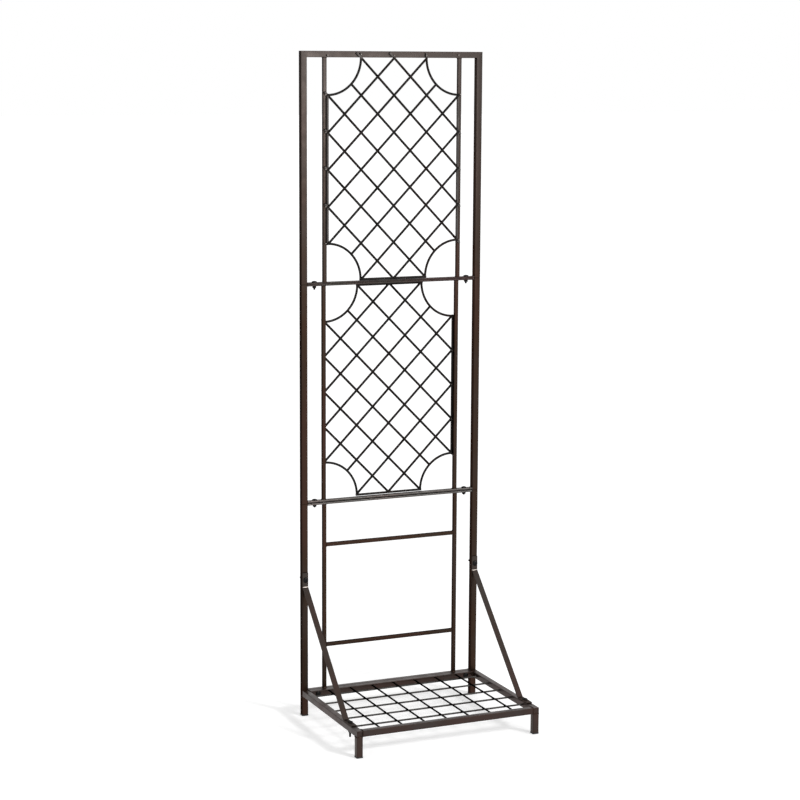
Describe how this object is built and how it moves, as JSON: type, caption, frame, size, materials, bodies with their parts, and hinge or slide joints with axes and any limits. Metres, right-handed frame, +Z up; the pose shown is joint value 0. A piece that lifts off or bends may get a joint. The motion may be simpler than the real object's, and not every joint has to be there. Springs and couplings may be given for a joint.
{
  "type": "plant stand with trellis back",
  "caption": "Low wire shelf on capped feet with tall bolted tube back panels and welded diamond lattices with quarter-round corners, braced to the shelf by bent flat bars.",
  "frame": {"origin": "centre of the footprint box, on the floor under the foot caps", "axes": "+Z up, -Y towards the front of the shelf, +X to the right seen from the front"},
  "size_m": [0.5366, 0.4294, 1.829],
  "materials": {
    "tube_coat": "dark bronze powder coat, satin, with slight red-brown variation",
    "flat_bar_coat": "dark bronze powder coat on flat bar, satin",
    "lattice_coat": "dark bronze powder coat on round rod, satin",
    "wire_coat": "dark bronze powder coat on round wire, satin",
    "hardware": "black plated steel bolts and nuts",
    "foot_plastic": "black moulded plastic, matt"
  },
  "bodies": {
    "root": {"bottom_panel_crossbar": "flat_bar_coat", "bottom_panel_left_inner_upright": "tube_coat", "bottom_panel_left_post": "tube_coat", "bottom_panel_rail": "tube_coat", "bottom_panel_right_inner_upright": "tube_coat", "bottom_panel_right_post": "tube_coat", "front_left_foot_cap": "foot_plastic", "front_left_leg": "tube_coat", "front_rail": "tube_coat", "front_right_foot_cap": "foot_plastic", "front_right_leg": "tube_coat", "left_brace": "flat_bar_coat", "left_brace_foot_bolt": "hardware", "left_brace_foot_nut": "hardware", "left_brace_top_bolt": "hardware", "left_brace_top_nut": "hardware", "left_side_rail": "tube_coat", "lower_joint_left_bolt": "hardware", "lower_joint_left_nut": "hardware", "lower_joint_right_bolt": "hardware", "lower_joint_right_nut": "hardware", "lower_rung": "tube_coat", "middle_lattice": "lattice_coat", "middle_panel_left_inner_upright": "tube_coat", "middle_panel_left_post": "tube_coat", "middle_panel_lower_crossbar": "flat_bar_coat", "middle_panel_right_inner_upright": "tube_coat", "middle_panel_right_post": "tube_coat", "middle_panel_upper_crossbar": "flat_bar_coat", "rear_left_foot_cap": "foot_plastic", "rear_rail": "tube_coat", "rear_right_foot_cap": "foot_plastic", "right_brace": "flat_bar_coat", "right_brace_foot_bolt": "hardware", "right_brace_foot_nut": "hardware", "right_brace_top_bolt": "hardware", "right_brace_top_nut": "hardware", "right_side_rail": "tube_coat", "shelf_left_bolt": "hardware", "shelf_left_nut": "hardware", "shelf_right_bolt": "hardware", "shelf_right_nut": "hardware", "top_bar": "tube_coat", "top_lattice": "lattice_coat", "top_panel_crossbar": "flat_bar_coat", "top_panel_left_inner_upright": "tube_coat", "top_panel_left_post": "tube_coat", "top_panel_right_inner_upright": "tube_coat", "top_panel_right_post": "tube_coat", "upper_joint_left_bolt": "hardware", "upper_joint_left_nut": "hardware", "upper_joint_right_bolt": "hardware", "upper_joint_right_nut": "hardware", "upper_rung": "tube_coat", "wire_grid": "wire_coat"}
  },
  "joints": []
}
